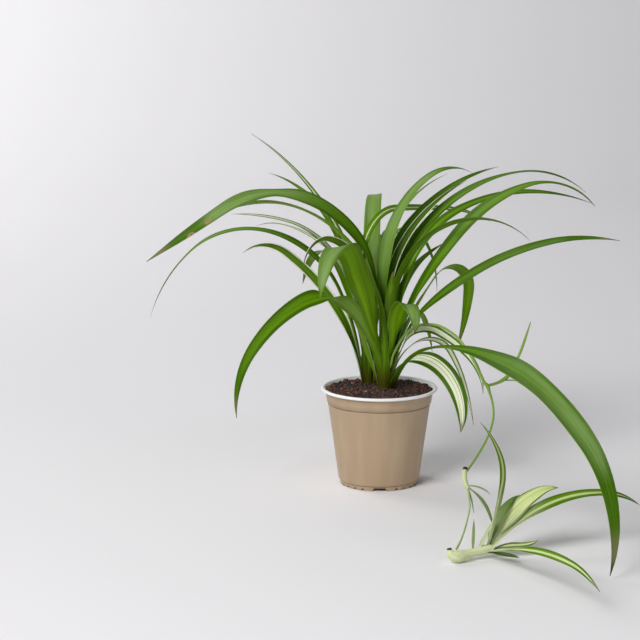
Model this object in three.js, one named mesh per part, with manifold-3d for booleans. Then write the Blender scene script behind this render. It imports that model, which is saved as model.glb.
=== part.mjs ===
// A potted spider plant: a nursery pot, its soil, two crowns of strap leaves, and a runner
// whose young plant lies on the surface in front of the pot.
// Millimetres and degrees. +Z is up, the origin is the centre of the pot's underside, and a
// heading is an angle in plan: 0 points along +X, 90 along +Y.
import * as THREE from "three";
import { mergeVertices } from "three/addons/utils/BufferGeometryUtils.js";
import Module from "manifold-3d";

const wasm = await Module();
wasm.setup();

// Driving dimensions
const GAP = 0.3;
const POT_HEIGHT = 101;
const RIM_RADIUS = 60;
const BASE_RADIUS = 40.4;
const WALL = 1.3;
const GROOVE_HEIGHT = 84.5;
const POT_SIDES = 48;
const SOIL_HEIGHT = 96;
const SOCKET_DEPTH = 12;
const BLADE = 0.7;
const FOOT_WIDTH = 7;
// Edges shorter than this are merged away after a union or a cut
const SLIVER = 0.01;

const plant = new THREE.Group();

const radians = THREE.MathUtils.degToRad;

function smooth(t) {
  return THREE.MathUtils.smoothstep(t, 0, 1);
}

// Value at s, from 0 to 1, of evenly spaced stations joined by straight lines
function between(stations, s) {
  const place = Math.min(Math.max(s, 0), 1) * (stations.length - 1);
  const i = Math.min(Math.floor(place), stations.length - 2);
  return THREE.MathUtils.lerp(stations[i], stations[i + 1], place - i);
}

function finish(color, roughness) {
  return new THREE.MeshStandardMaterial({ color, roughness, metalness: 0 });
}

const POT_PLASTIC = finish(0xb09d84, 0.45);
const SOIL_PEAT = finish(0x2e201a, 0.95);
const LEAF_GREEN = finish(0x4f8a24, 0.42);
const LEAF_STRIPED = finish(0x8fb35a, 0.42);
const SHEATH = finish(0x9dbb5f, 0.5);
const RUNNER_STEM = finish(0x7f9c3c, 0.5);

function add(name, geometry, material) {
  const mesh = new THREE.Mesh(geometry, material);
  mesh.name = name;
  plant.add(mesh);
}

// Closed solid of a geometry, and back
function solid(geometry) {
  const bare = geometry.index ? geometry.toNonIndexed() : geometry.clone();
  bare.deleteAttribute("normal");
  bare.deleteAttribute("uv");
  const merged = mergeVertices(bare, 1e-4);
  return new wasm.Manifold(
    new wasm.Mesh({
      numProp: 3,
      vertProperties: merged.attributes.position.array,
      triVerts: new Uint32Array(merged.index.array),
    }),
  );
}

function geometryOf(manifold) {
  const mesh = manifold.simplify(SLIVER).getMesh();
  const geometry = new THREE.BufferGeometry();
  geometry.setAttribute("position", new THREE.BufferAttribute(mesh.vertProperties, 3));
  geometry.setIndex(new THREE.BufferAttribute(mesh.triVerts, 1));
  return geometry;
}

// Body of revolution about Z from [radius, height] points that start and end on the axis
function turned(profile, sides) {
  const points = profile.map(([r, z]) => new THREE.Vector2(r, z));
  return new THREE.LatheGeometry(points, sides).rotateX(Math.PI / 2);
}

function upright(radius, low, high, sides) {
  const geometry = new THREE.CylinderGeometry(radius, radius, high - low, sides);
  return geometry.rotateX(Math.PI / 2).translate(0, 0, (low + high) / 2);
}

// Skin over rings of equal point counts, closed by a fan at each end.
// Rings run counter-clockwise as seen from the last ring's side.
function skin(rings) {
  const count = rings[0].length;
  const positions = [];
  const push = (a, b, c) => positions.push(a.x, a.y, a.z, b.x, b.y, b.z, c.x, c.y, c.z);
  for (let k = 0; k + 1 < rings.length; k++) {
    for (let i = 0; i < count; i++) {
      const j = (i + 1) % count;
      push(rings[k][i], rings[k][j], rings[k + 1][j]);
      push(rings[k][i], rings[k + 1][j], rings[k + 1][i]);
    }
  }
  const first = rings[0];
  const last = rings[rings.length - 1];
  for (let i = 1; i + 1 < count; i++) {
    push(first[0], first[i + 1], first[i]);
    push(last[0], last[i], last[i + 1]);
  }
  const geometry = new THREE.BufferGeometry();
  geometry.setAttribute("position", new THREE.Float32BufferAttribute(positions, 3));
  return geometry;
}

// Pot: a tapering cup with a rolled lip, a collar over a groove, and a notched foot ring.
// Its floor touches the surface with a flat pad in the middle and with the foot ring.
const PAD_RADIUS = 14;
const FLOOR_RISE = 2.8;
const FOOT_HEIGHT = 4.6;
const FOOT_NOTCHES = 28;
const NOTCH_WIDTH = 3.4;
const NOTCH_HEIGHT = 2.2;
const GATE_COUNT = 4;
const GATE_WIDTH = 14;
const GATE_HEIGHT = 3.2;
const DRAIN_COUNT = 6;
const DRAIN_RADIUS = 4;
const DRAIN_RING = 26;

const BODY_TOP = 52.6;
const COLLAR_LOW = 53.6;
const COLLAR_HIGH = 55.8;
const LIP_HEIGHT = 2.8;
const LIP_INSIDE = 56.2;

const potOutside = [
  [0, 0],
  [PAD_RADIUS, 0],
  [PAD_RADIUS + 2, FLOOR_RISE],
  [BASE_RADIUS - 4.6, FLOOR_RISE],
  [BASE_RADIUS - 3.6, 0],
  [BASE_RADIUS, 0],
  [BASE_RADIUS + 0.3, FOOT_HEIGHT],
  [BASE_RADIUS + 1.4, FOOT_HEIGHT + 1.2],
  [BODY_TOP, GROOVE_HEIGHT - 0.8],
  [BODY_TOP - 0.6, GROOVE_HEIGHT - 0.2],
  [BODY_TOP - 0.4, GROOVE_HEIGHT + 0.4],
  [COLLAR_LOW, GROOVE_HEIGHT + 1],
  [COLLAR_HIGH, POT_HEIGHT - LIP_HEIGHT],
  [RIM_RADIUS - 0.8, POT_HEIGHT - LIP_HEIGHT],
  [RIM_RADIUS, POT_HEIGHT - LIP_HEIGHT + 0.9],
  [RIM_RADIUS - 0.2, POT_HEIGHT - 0.8],
  [RIM_RADIUS - 1, POT_HEIGHT],
  [LIP_INSIDE + 0.7, POT_HEIGHT],
  [LIP_INSIDE, POT_HEIGHT - 0.7],
];
const COLLAR_IN_HIGH = COLLAR_HIGH - WALL;
const COLLAR_IN_LOW = COLLAR_LOW - WALL;
const BODY_IN_TOP = BODY_TOP - 0.6 - WALL;
const BODY_IN_LOW = BASE_RADIUS + 1.4 - WALL;
const FLOOR_TOP = FLOOR_RISE + 1.6;
const PAD_TOP = 1.6;
const potInside = [
  [COLLAR_IN_HIGH, POT_HEIGHT - LIP_HEIGHT - 0.5],
  [COLLAR_IN_LOW, GROOVE_HEIGHT + 0.6],
  [BODY_IN_TOP, GROOVE_HEIGHT - 1],
  [BODY_IN_LOW, FLOOR_TOP + 2],
  [BODY_IN_LOW - 1.6, FLOOR_TOP],
  [PAD_RADIUS + 1, FLOOR_TOP],
  [PAD_RADIUS - 1, PAD_TOP],
  [0, PAD_TOP],
];

let pot = solid(turned([...potOutside, ...potInside], POT_SIDES));

// A block across the foot ring at an angle round the axis, open to the surface below
function footCut(width, height, angle) {
  const half = width / 2;
  const outline = new THREE.Shape();
  outline.moveTo(-half, -1);
  outline.lineTo(half, -1);
  outline.lineTo(half, height * 0.45);
  outline.lineTo(half * 0.6, height);
  outline.lineTo(-half * 0.6, height);
  outline.lineTo(-half, height * 0.45);
  const block = new THREE.ExtrudeGeometry(outline, { depth: 8, bevelEnabled: false });
  block.rotateX(Math.PI / 2).translate(0, -(BASE_RADIUS - 5), 0);
  return solid(block.rotateZ(radians(angle)));
}

const PITCH = 360 / FOOT_NOTCHES;
const GATE_EVERY = FOOT_NOTCHES / GATE_COUNT;
for (let i = 0; i < FOOT_NOTCHES; i++) {
  const gate = i % GATE_EVERY === 0;
  const nextToGate = i % GATE_EVERY === 1 || i % GATE_EVERY === GATE_EVERY - 1;
  if (gate) {
    pot = pot.subtract(footCut(GATE_WIDTH, GATE_HEIGHT, i * PITCH));
  } else if (!nextToGate) {
    pot = pot.subtract(footCut(NOTCH_WIDTH, NOTCH_HEIGHT, i * PITCH));
  }
}
for (let i = 0; i < DRAIN_COUNT; i++) {
  const hole = upright(DRAIN_RADIUS, 0.5, FLOOR_TOP + 1, 10);
  hole.translate(DRAIN_RING, 0, 0).rotateZ(radians((i * 360) / DRAIN_COUNT + 12));
  pot = pot.subtract(solid(hole));
}
add("pot", geometryOf(pot), POT_PLASTIC);

// Crowns: each is the tight bundle of leaf feet that stands in the soil, where its leaves
// can't be told apart. Its sides are ribbed by the edges of the sheathing feet.
const CROWNS = {
  front: { x: 7, y: 12, radius: 8.4, taper: 0.03, top: 40 },
  back: { x: -10, y: 30, radius: 6.2, taper: 0.03, top: 34 },
};
const CROWN_SIDES = 16;

function crownRadius(crown, rise) {
  return crown.radius - crown.taper * Math.min(Math.max(rise, 0), crown.top);
}

function crownBody(crown, inset) {
  const rings = [];
  for (const rise of [-SOCKET_DEPTH, 0, crown.top / 2, crown.top]) {
    const ring = [];
    for (let i = 0; i < CROWN_SIDES; i++) {
      const angle = ((i + rise / 60) / CROWN_SIDES) * 2 * Math.PI;
      const rib = i % 2 ? 0.8 : 0;
      const radius = crownRadius(crown, rise) - rib + inset;
      const x = crown.x + radius * Math.cos(angle);
      const y = crown.y + radius * Math.sin(angle);
      ring.push(new THREE.Vector3(x, y, SOIL_HEIGHT + rise));
    }
    rings.push(ring);
  }
  return skin(rings);
}

add("crown_front", crownBody(CROWNS.front, 0), SHEATH);
add("crown_back", crownBody(CROWNS.back, 0), SHEATH);

// Soil: fills the pot to 5 mm below its rim. Its top is crumbly, by a sum of waves, and it
// has a plain round hole for each crown.
const SOIL_RINGS = 7;
const SOIL_SIDES = 32;
const SOIL_EDGE = COLLAR_IN_LOW - GAP;
const CRUMB = 0.5;

function crumbs(x, y) {
  return CRUMB * (Math.sin(x / 3.1 + 1) * Math.sin(y / 2.7) + Math.sin((x + y) / 4.3) - 1);
}

function soilBody() {
  const outline = [
    [0, PAD_TOP + GAP],
    [PAD_RADIUS - 1 - GAP, PAD_TOP + GAP],
    [PAD_RADIUS + 1 - GAP, FLOOR_TOP + GAP],
    [BODY_IN_LOW - 1.8 - GAP, FLOOR_TOP + GAP],
    [BODY_IN_LOW - 2 * GAP, FLOOR_TOP + 2 + GAP],
    [BODY_IN_TOP - 1.5 * GAP, GROOVE_HEIGHT - 1],
    [SOIL_EDGE, GROOVE_HEIGHT + 0.8],
    [SOIL_EDGE + 1.5, SOIL_HEIGHT],
  ];
  for (let k = SOIL_RINGS - 1; k > 0; k--) {
    outline.push([((SOIL_EDGE + 1.5) * k) / SOIL_RINGS, SOIL_HEIGHT]);
  }
  outline.push([0, SOIL_HEIGHT]);
  const geometry = turned(outline, SOIL_SIDES);
  const place = geometry.attributes.position;
  for (let i = 0; i < place.count; i++) {
    const inside = Math.hypot(place.getX(i), place.getY(i)) < SOIL_EDGE - 2;
    if (inside && place.getZ(i) > SOIL_HEIGHT - 0.1) {
      place.setZ(i, SOIL_HEIGHT + crumbs(place.getX(i), place.getY(i)));
    }
  }
  return solid(geometry);
}

function socket(crown) {
  const low = SOIL_HEIGHT - SOCKET_DEPTH - GAP;
  const hole = upright(crown.radius + GAP, low, SOIL_HEIGHT + 4, 20);
  return solid(hole.translate(crown.x, crown.y, 0));
}

const soil = soilBody().subtract(socket(CROWNS.front)).subtract(socket(CROWNS.back));
add("soil", geometryOf(soil), SOIL_PEAT);

// Leaves: each is a strap that rises from its crown, arches over and tapers to a point.
// Its line starts at its foot and bends in four even arcs: the lean from upright is given at
// the foot, a quarter, half, three quarters and the tip. It heads one way in plan, and swings
// a little towards its tip. The blade is folded along its rib into a shallow V, which opens
// out with distance from the foot, and turns about its own line by the turn given.
const LINE_STEPS = 60;
const FOOT_SHARE = 0.6;
const TIP_WIDTH = 1.2;
const OPEN_FOLD = 12;
const FOOT_FOLD = 24;
const SEGMENT = 28;

function leafLine(foot, heading, swing, length, leans) {
  const points = [foot.clone()];
  const step = length / LINE_STEPS;
  for (let i = 0; i < LINE_STEPS; i++) {
    const s = (i + 0.5) / LINE_STEPS;
    points.push(points[i].clone().addScaledVector(leafWay(heading, swing, leans, s), step));
  }
  return points;
}

function leafWay(heading, swing, leans, s) {
  const lean = radians(between(leans, s));
  const way = radians(heading + swing * s);
  return new THREE.Vector3(
    Math.sin(lean) * Math.cos(way),
    Math.sin(lean) * Math.sin(way),
    Math.cos(lean),
  );
}

function bladeWidth(s, [width, full, taper]) {
  const footWidth = Math.min(FOOT_SHARE * width, FOOT_WIDTH);
  const grown = footWidth + (width - footWidth) * smooth(s / full);
  return Math.max(grown * (1 - s ** taper) ** 0.9, TIP_WIDTH);
}

// Ring of six points round the blade at s: across the lower face and back across the upper
function bladeRing(leaf, point, s) {
  const lean = radians(between(leaf.leans, s));
  const way = radians(leaf.heading + leaf.swing * s);
  const along = leafWay(leaf.heading, leaf.swing, leaf.leans, s);
  const up = new THREE.Vector3(
    -Math.cos(lean) * Math.cos(way),
    -Math.cos(lean) * Math.sin(way),
    Math.sin(lean),
  );
  const footTurn = leaf.footTurn * (1 - smooth(s / 0.25));
  const roll = radians(leaf.turn * smooth((s - 0.06) / 0.4) + footTurn);
  const side = new THREE.Vector3().crossVectors(up, along).applyAxisAngle(along, roll);
  up.applyAxisAngle(along, roll);
  const fold = radians(OPEN_FOLD + FOOT_FOLD * smooth(s / 0.1) * (1 - smooth((s - 0.12) / 0.3)));
  const half = bladeWidth(s, leaf.shape) / 2;
  const at = (across, raise) =>
    point.clone().addScaledVector(side, across).addScaledVector(up, raise);
  const edge = half * Math.cos(fold);
  const lift = half * Math.sin(fold);
  const slantX = (BLADE / 2) * Math.sin(fold);
  const slantY = (BLADE / 2) * Math.cos(fold);
  const rib = BLADE / 2 / Math.cos(fold);
  return [
    at(edge + slantX, lift - slantY),
    at(0, -rib),
    at(-edge - slantX, lift - slantY),
    at(-edge + slantX, lift + slantY),
    at(0, rib),
    at(edge - slantX, lift + slantY),
  ];
}

function blade(leaf) {
  const line = leafLine(leaf.foot, leaf.heading, leaf.swing, leaf.length, leaf.leans);
  const segments = Math.max(5, Math.round(leaf.length / SEGMENT) + 2);
  const rings = [];
  for (let k = 0; k <= segments; k++) {
    const s = k / segments;
    const place = Math.min(s * LINE_STEPS, LINE_STEPS - 1e-6);
    const i = Math.floor(place);
    const point = line[i].clone().lerp(line[i + 1], place - i);
    rings.push(bladeRing(leaf, point, s));
  }
  return bladeSkin(rings);
}

// The blade's skin: both faces are split the same way, and each end is closed flat
function bladeSkin(rings) {
  const positions = [];
  const push = (a, b, c) => positions.push(a.x, a.y, a.z, c.x, c.y, c.z, b.x, b.y, b.z);
  const quad = (a, b, c, d) => {
    push(a, b, c);
    push(a, c, d);
  };
  const [R, K, L, l, k, r] = [0, 1, 2, 3, 4, 5];
  for (let n = 0; n + 1 < rings.length; n++) {
    const a = rings[n];
    const b = rings[n + 1];
    quad(a[R], a[K], b[K], b[R]);
    quad(a[K], a[L], b[L], b[K]);
    quad(a[L], a[l], b[l], b[L]);
    push(a[l], a[k], b[l]);
    push(a[k], b[k], b[l]);
    push(a[k], a[r], b[k]);
    push(a[r], b[r], b[k]);
    quad(a[r], a[R], b[R], b[r]);
  }
  const cap = (ring, flip) => {
    const faces = [
      [R, r, k],
      [R, k, K],
      [K, k, l],
      [K, l, L],
    ];
    for (const [x, y, z] of faces) {
      if (flip) {
        push(ring[x], ring[z], ring[y]);
      } else {
        push(ring[x], ring[y], ring[z]);
      }
    }
  };
  cap(rings[0], false);
  cap(rings[rings.length - 1], true);
  const geometry = new THREE.BufferGeometry();
  geometry.setAttribute("position", new THREE.Float32BufferAttribute(positions, 3));
  return geometry;
}

// One row for each leaf: its name and crown; its foot as the height over the soil, the side
// of the crown that it stands at, and its distance from the crown's middle (0 where it lies
// against the crown's side); heading, swing and length; the five leans; its width, the share
// of its length where it has grown that wide, and how late it narrows to its tip; the
// blade's turn, the foot's own turn, and whether it is striped with cream
const LEAVES = [
  ["arching_left", "front", [36, 183, 0], 198, -9, 378, [-8, 19, 64, 123, 123], [20, 0.35, 5], -46, -18, 0],
  ["twisted_left", "front", [37, 260, 0], 193, -34, 310, [0, 21, 53, 97, 136], [17, 0.35, 4], 20, 67, 0],
  ["drooping_left", "back", [10, 173, 0], 173, -12, 372, [8, 24, 75, 130, 163], [11, 0.35, 4], -18, -1, 0],
  ["folded_front", "front", [40.4, 223, 7.2], 238, 16, 241, [33, 28, 38, 104, 166], [26, 0.35, 5], 46, 72, 0],
  ["low_left", "front", [22, 234, 0], 212, 4, 287, [14, 41, 111, 140, 188], [19, 0.35, 3], -67, 32, 0],
  ["curled_front", "front", [38, 312, 0], 295, -5, 115, [22, 12, 48, 116, 212], [18, 0.35, 5], -32, 17, 0],
  ["short_centre", "front", [40.4, 306, 4.7], 275, 3, 94, [1, 7, 17, 30, 28], [12, 0.35, 4], -8, -19, 0],
  ["long_right", "front", [22, 345, 0], 348, 5, 290, [11, 44, 59, 76, 100], [10, 0.35, 4], 88, -8, 0],
  ["hooked_right", "front", [3, 54, 0], 20, 20, 247, [8, 27, 40, 186, 202], [15, 0.35, 5], -30, 34, 0],
  ["broad_right", "front", [23, 35, 0], -5, 2, 320, [11, 27, 39, 69, 143], [17, 0.35, 3], 51, 32, 0],
  ["thin_right", "front", [34, 4, 0], 24, 4, 350, [5, 17, 68, 93, 112], [12, 0.3, 2.5], 35, -25, 0],
  ["high_right", "front", [40.4, 93, 7.2], 29, -3, 357, [-5, 28, 59, 87, 129], [12, 0.3, 2], 50, 18, 0],
  ["dark_right", "front", [40.4, 19, 6.2], 343, 5, 245, [2, 8, 45, 86, 135], [14, 0.35, 3], -27, 29, 0],
  ["rear_right", "front", [40.4, 76, 6.9], 50, -1, 149, [14, 20, 42, 67, 77], [10, 0.35, 3], 21, -13, 0],
  ["upright_pale", "front", [40.4, 7, 1.6], 39, -3, 267, [-1, -6, 27, 64, 124], [17, 0.35, 2.2], 18, 31, 0],
  ["blunt_back", "back", [34.4, 77, 5.2], 86, 0, 285, [7, 13, 41, 110, 150], [18, 0.35, 5], -4, -21, 0],
  ["upright_slim", "front", [40.4, 112, 7.2], 49, -10, 281, [-3, 11, 53, 70, 85], [11, 0.35, 3], 30, 14, 0],
  ["upright_dark", "front", [40.4, 29, 2.8], 35, -2, 216, [1, -1, 33, 54, 69], [10, 0.35, 3], 36, 33, 1],
  ["curled_left", "front", [40.4, 215, 7.2], 237, -18, 208, [37, 9, 33, 74, 182], [10, 0.35, 4], 64, 72, 1],
  ["pointing_left", "back", [34.4, 82, 0.9], 158, 0, 272, [-2, 17, 31, 45, 61], [10, 0.3, 2], -31, -12, 0],
  ["slim_left", "back", [34.4, 219, 6.8], 129, 1, 261, [-5, 24, 38, 67, 85], [9, 0.35, 3], -16, -34, 0],
  ["upright_rear", "front", [40.4, 136, 6.1], 39, 4, 224, [4, -1, 19, 56, 80], [13, 0.35, 2.5], -21, 20, 0],
  ["edged_left", "back", [1, 164, 0], 163, -5, 217, [11, 22, 42, 55, 132], [15, 0.35, 4], -31, 1, 1],
  ["striped_left", "back", [21, 174, 0], 166, 4, 242, [0, 14, 34, 76, 92], [12, 0.35, 4], -12, 0, 1],
  ["cream_left", "back", [34.4, 144, 2.3], 132, 0, 246, [-3, 29, 65, 80, 108], [11, 0.35, 3], 13, 15, 1],
  ["level_rear", "back", [34.4, -16, 5], 46, 8, 366, [-14, -9, 94, 98, 113], [8, 0.35, 4], 62, 12, 1],
  ["dangling_rear", "back", [3, -7, 0], 40, 4, 275, [6, -2, 17, 138, 180], [7, 0.35, 4], -7, -47, 0],
  ["cream_right", "front", [4, 318, 0], 318, 0, 157, [7, 64, 115, 155, 195], [20, 0.45, 5], 42, 0, 1],
  ["sweeping_front", "front", [1, 300, 0], 295, 8, 509, [38, 81, 97, 126, 199], [27, 0.5, 4], 23, 5, 0],
  ["striped_right", "front", [13, 314, 0], 334, -6, 169, [16, 26, 111, 132, 179], [11, 0.35, 3], 52, -10, 1],
  ["narrow_right", "front", [14, 8, 0], 11, 3, 170, [7, 62, 150, 163, 171], [7, 0.35, 3], -66, -5, 0],
  ["edge_front", "front", [2, 206, 0], 196, 0, 103, [15, 19, 17, 27, 63], [8, 0.35, 3], 43, 10, 1],
  ["rear_arching", "back", [6, 82, 0], 79, 3, 326, [24, 33, 68, 104, 138], [18, 0.35, 4], 6, -12, 1],
  ["rear_broad", "back", [12, 108, 0], 112, -6, 290, [11, 36, 74, 112, 143], [20, 0.35, 4], -7, -8, 0],
  ["rear_low", "back", [1, 42, 0], 62, 10, 235, [20, 52, 92, 128, 154], [14, 0.35, 3], 14, 0, 0],
  ["rear_slim", "front", [5, 100, 0], 92, 0, 260, [7, 23, 50, 86, 120], [11, 0.35, 3], 11, 0, 0],
];

function footOf(crown, [rise, azimuth, ring]) {
  const radius = ring || crownRadius(crown, rise) + GAP + BLADE / 2;
  const angle = radians(azimuth);
  return new THREE.Vector3(
    crown.x + radius * Math.cos(angle),
    crown.y + radius * Math.sin(angle),
    SOIL_HEIGHT + rise,
  );
}

for (const row of LEAVES) {
  const [name, crown, place, heading, swing, length, leans, shape, turn, footTurn, striped] = row;
  const foot = footOf(CROWNS[crown], place);
  const leaf = { foot, heading, swing, length, leans, shape, turn, footTurn };
  add(`leaf_${name}`, blade(leaf), striped ? LEAF_STRIPED : LEAF_GREEN);
}

// Runner: a thin stem that arches out of the front crown, over the rim and down. It bears a
// side branch at its first joint, and lower down a small plantlet on a short thick stem.
const RUNNER_LINE = [
  [12.6, 5.2, 124, 1.4],
  [15.6, 3, 136, 1.4],
  [26, -4, 156, 1.4],
  [38, -14, 167, 1.4],
  [49, -26, 171, 1.3],
  [61, -38, 171, 1.3],
  [75, -52, 164, 1.3],
  [84, -62, 154, 1.3],
  [93, -74, 141, 1.3],
  [101, -88, 125, 1.5],
  [104, -92, 122, 2],
  [106, -98, 116, 1.4],
  [108, -108, 108, 1.2],
  [108, -122, 97, 1.1],
  [102, -142, 84, 1.1],
  [91, -166, 72, 1.1],
  [79, -190, 62, 1.1],
  [76.5, -193, 60, 1.1],
];
const BRANCH_LINE = [
  [104, -92, 122, 1.2],
  [121, -90, 128, 1.1],
  [128, -88, 135, 1],
  [136, -84, 150, 0.8],
  [148, -78, 182, 0.6],
];
const PLANTLET_LINE = [
  [76.5, -190, 64, 2.2],
  [75.5, -195, 58, 2.4],
  [76, -202, 52, 2.4],
  [79, -206, 47, 1.9],
];
const LOWER_LINE = [
  [78, -205, 48, 1],
  [78.5, -220, 42, 0.9],
  [78, -232, 35, 0.8],
  [73, -250, 23, 0.8],
  [68, -266, 15.5, 0.9],
  [63, -283, 12.3, 1.1],
];
const RUNNER_SIDES = 6;
const LEAFLET_FULL = 0.35;
const LEAFLET_TAPER = 4;

// Each leaflet: foot, heading, swing, length, leans, width, turn
const RUNNER_LEAFLETS = [
  [[104, -92, 122], 2, 0, 28, [62, 84, 92, 96, 98], 3.5, 0],
  [[78, -204, 50], 350, 0, 24, [84, 96, 108, 124, 136], 4, 0],
  [[78, -206, 49], 335, 0, 46, [118, 128, 146, 160, 166], 5, 20],
  [[78, -206, 48], 320, 0, 24, [150, 158, 164, 168, 170], 2.4, 0],
];

// Round stem along [x, y, z, radius] points, closed at both ends
function stem(line, sides) {
  const points = line.map(([x, y, z]) => new THREE.Vector3(x, y, z));
  const reference = new THREE.Vector3(1, 0.6, 0).normalize();
  const rings = points.map((point, k) => {
    const after = points[Math.min(k + 1, points.length - 1)];
    const along = after.clone().sub(points[Math.max(k - 1, 0)]).normalize();
    const side = new THREE.Vector3().crossVectors(along, reference).normalize();
    const up = new THREE.Vector3().crossVectors(along, side);
    return Array.from({ length: sides }, (_, i) => {
      const angle = (i / sides) * 2 * Math.PI;
      const reach = line[k][3];
      const across = reach * Math.cos(angle);
      return point.clone().addScaledVector(side, across).addScaledVector(up, reach * Math.sin(angle));
    });
  });
  return skin(rings);
}

function leaflet([foot, heading, swing, length, leans, width, turn]) {
  const place = new THREE.Vector3(...foot);
  const shape = [width, LEAFLET_FULL, LEAFLET_TAPER];
  return blade({ foot: place, heading, swing, length, leans, shape, turn, footTurn: 0 });
}

function fused(geometries) {
  return geometryOf(wasm.Manifold.union(geometries.map(solid)));
}

const runnerStems = [RUNNER_LINE, BRANCH_LINE, PLANTLET_LINE, LOWER_LINE];
add(
  "runner",
  fused([...runnerStems.map((line) => stem(line, RUNNER_SIDES)), ...RUNNER_LEAFLETS.map(leaflet)]),
  RUNNER_STEM,
);

// Young plant: lies on the surface under the runner's end. Its short stem swells to a root
// bulge at the cut end, and bears a tuft of leaves.
const YOUNG_STEM = [
  [60, -286, 7.5, 3],
  [62.5, -284.5, 6.2, 4.6],
  [68, -282, 5.8, 5.2],
  [76, -279, 6, 4.6],
  [84, -275.5, 6.4, 4],
  [92, -272, 7, 4],
  [95.5, -270.5, 7.4, 2.8],
];
const YOUNG_SIDES = 12;
const YOUNG_LEAFLETS = [
  [[91, -271, 9.5], 140, 8, 127, [-14, -14, -13, 27, 49], 13, 7],
  [[94, -271, 9], 24, 0, 87, [40, 43, 48, 59, 96], 20, 0],
  [[93, -271, 9.5], 48, 0, 66, [21, 27, 46, 69, 87], 10, 5],
  [[95, -270, 8], 26, 0, 174, [44, 61, 81, 98, 129], 11, 27],
  [[92, -275, 7.5], 296, 0, 189, [75, 73, 82, 91, 118], 9, -13],
  [[95, -271, 6.5], 8, 0, 46, [63, 80, 92, 83, 64], 8, 0],
  [[93, -274.5, 6], 322, 0, 33, [84, 86, 88, 90, 90], 7, 0],
  [[78, -278, 8], 70, 0, 30, [10, 8, 6, 2, 0], 3.4, 0],
  [[85, -275, 8], 20, 0, 28, [24, 26, 28, 30, 30], 5, 0],
];

add("young_plant", fused([stem(YOUNG_STEM, YOUNG_SIDES), ...YOUNG_LEAFLETS.map(leaflet)]), LEAF_STRIPED);

export default plant;
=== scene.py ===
# A potted spider plant: nursery pot, soil, two crowns of strap leaves, and a runner whose
# young plant lies on the surface. Lengths are in millimetres until they become a mesh.
import math

import bpy
import numpy as np
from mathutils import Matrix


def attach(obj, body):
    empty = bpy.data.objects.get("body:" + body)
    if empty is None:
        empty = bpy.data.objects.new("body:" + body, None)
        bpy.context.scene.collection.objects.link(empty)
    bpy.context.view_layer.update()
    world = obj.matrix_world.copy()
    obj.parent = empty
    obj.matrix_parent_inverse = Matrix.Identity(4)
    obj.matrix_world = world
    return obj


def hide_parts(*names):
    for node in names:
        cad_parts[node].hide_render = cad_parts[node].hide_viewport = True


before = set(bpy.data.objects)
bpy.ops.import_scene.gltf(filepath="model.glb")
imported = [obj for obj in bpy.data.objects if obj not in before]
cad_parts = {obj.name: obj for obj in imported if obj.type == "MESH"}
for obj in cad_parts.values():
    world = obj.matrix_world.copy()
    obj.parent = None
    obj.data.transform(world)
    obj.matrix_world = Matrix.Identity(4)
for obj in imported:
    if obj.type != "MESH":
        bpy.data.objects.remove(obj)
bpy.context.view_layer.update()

# Pot: a 12 cm nursery pot, moulded in one piece of thin plastic, taupe outside and white on
# its lip and inside. It has a rolled lip, a collar over a groove, a notched foot ring, and
# faint upright flow marks from its mould.
MM = 0.001
POT_HEIGHT = 101
POT_SIDES = 336
RIM_RADIUS = 60
LIP_HEIGHT = 2.8
COLLAR_RADIUS = 55.8
COLLAR_TAPER = 2.1
COLLAR_HEIGHT = 12.7
GROOVE_HEIGHT = 84.5
BASE_RADIUS = 40.4
FOOT_STEP = 4.8
FLOOR_HEIGHT = 4.4
FOOT_NOTCHES = 28
NOTCH_WIDTH = 3.4
NOTCH_HEIGHT = 2.2
NOTCH_EDGE = 0.8
GATE_EVERY = 7
GATE_WIDTH = 14
GATE_HEIGHT = 3.2
WALL_SLOPE = 0.1355
THROAT_RADIUS = 30.7
THROAT_SLOPE = 0.25
TAUPE = (0.45, 0.332, 0.215, 1)
TAUPE_MARK = (0.4, 0.287, 0.18, 1)
TAUPE_CLOUD = (0.4, 0.285, 0.18, 1)
# Painted shade: dark brown for the creases under the collar and over the foot step.
CREASE_SHADE_BROWN = (0.16, 0.09, 0.05, 1)
LIP_WHITE = (0.84, 0.84, 0.85, 1)


def closed_grid(rings, around):
    """Faces of a closed skin over rings of points: ring k, point i is point k * around + i.
    Quads join each ring to the next, and one face closes each end."""
    k = np.arange(rings - 1)[:, None] * around
    i = np.arange(around)[None, :]
    j = (i + 1) % around
    quads = np.stack([k + i, k + j, k + around + j, k + around + i], -1).reshape(-1, 4)
    ends = [list(range(around))[::-1], list(range((rings - 1) * around, rings * around))]
    return quads.tolist() + ends


def new_piece(name, points, faces, material, nodes, uv=None, values=None, smooth=True):
    """A mesh piece from points in millimetres. uv has one pair a point, and values holds
    further named numbers, one a point. The piece rides on the part and stands for nodes."""
    mesh = bpy.data.meshes.new(name)
    mesh.from_pydata((np.asarray(points) * MM).tolist(), [], faces)
    if uv is not None:
        corner = np.empty(len(mesh.loops), dtype=np.int32)
        mesh.loops.foreach_get("vertex_index", corner)
        layer = mesh.uv_layers.new(name="blade")
        layer.data.foreach_set("uv", np.asarray(uv, dtype=np.float32)[corner].ravel())
    for key, numbers in (values or {}).items():
        attribute = mesh.attributes.new(key, "FLOAT", "POINT")
        numbers = np.broadcast_to(np.asarray(numbers, dtype=np.float32), (len(points),))
        attribute.data.foreach_set("value", np.ascontiguousarray(numbers))
    mesh.polygons.foreach_set("use_smooth", [smooth] * len(mesh.polygons))
    mesh.materials.append(material)
    piece = bpy.data.objects.new(name, mesh)
    bpy.context.scene.collection.objects.link(piece)
    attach(piece, "root")
    if nodes:
        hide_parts(*nodes)
    return piece


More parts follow.
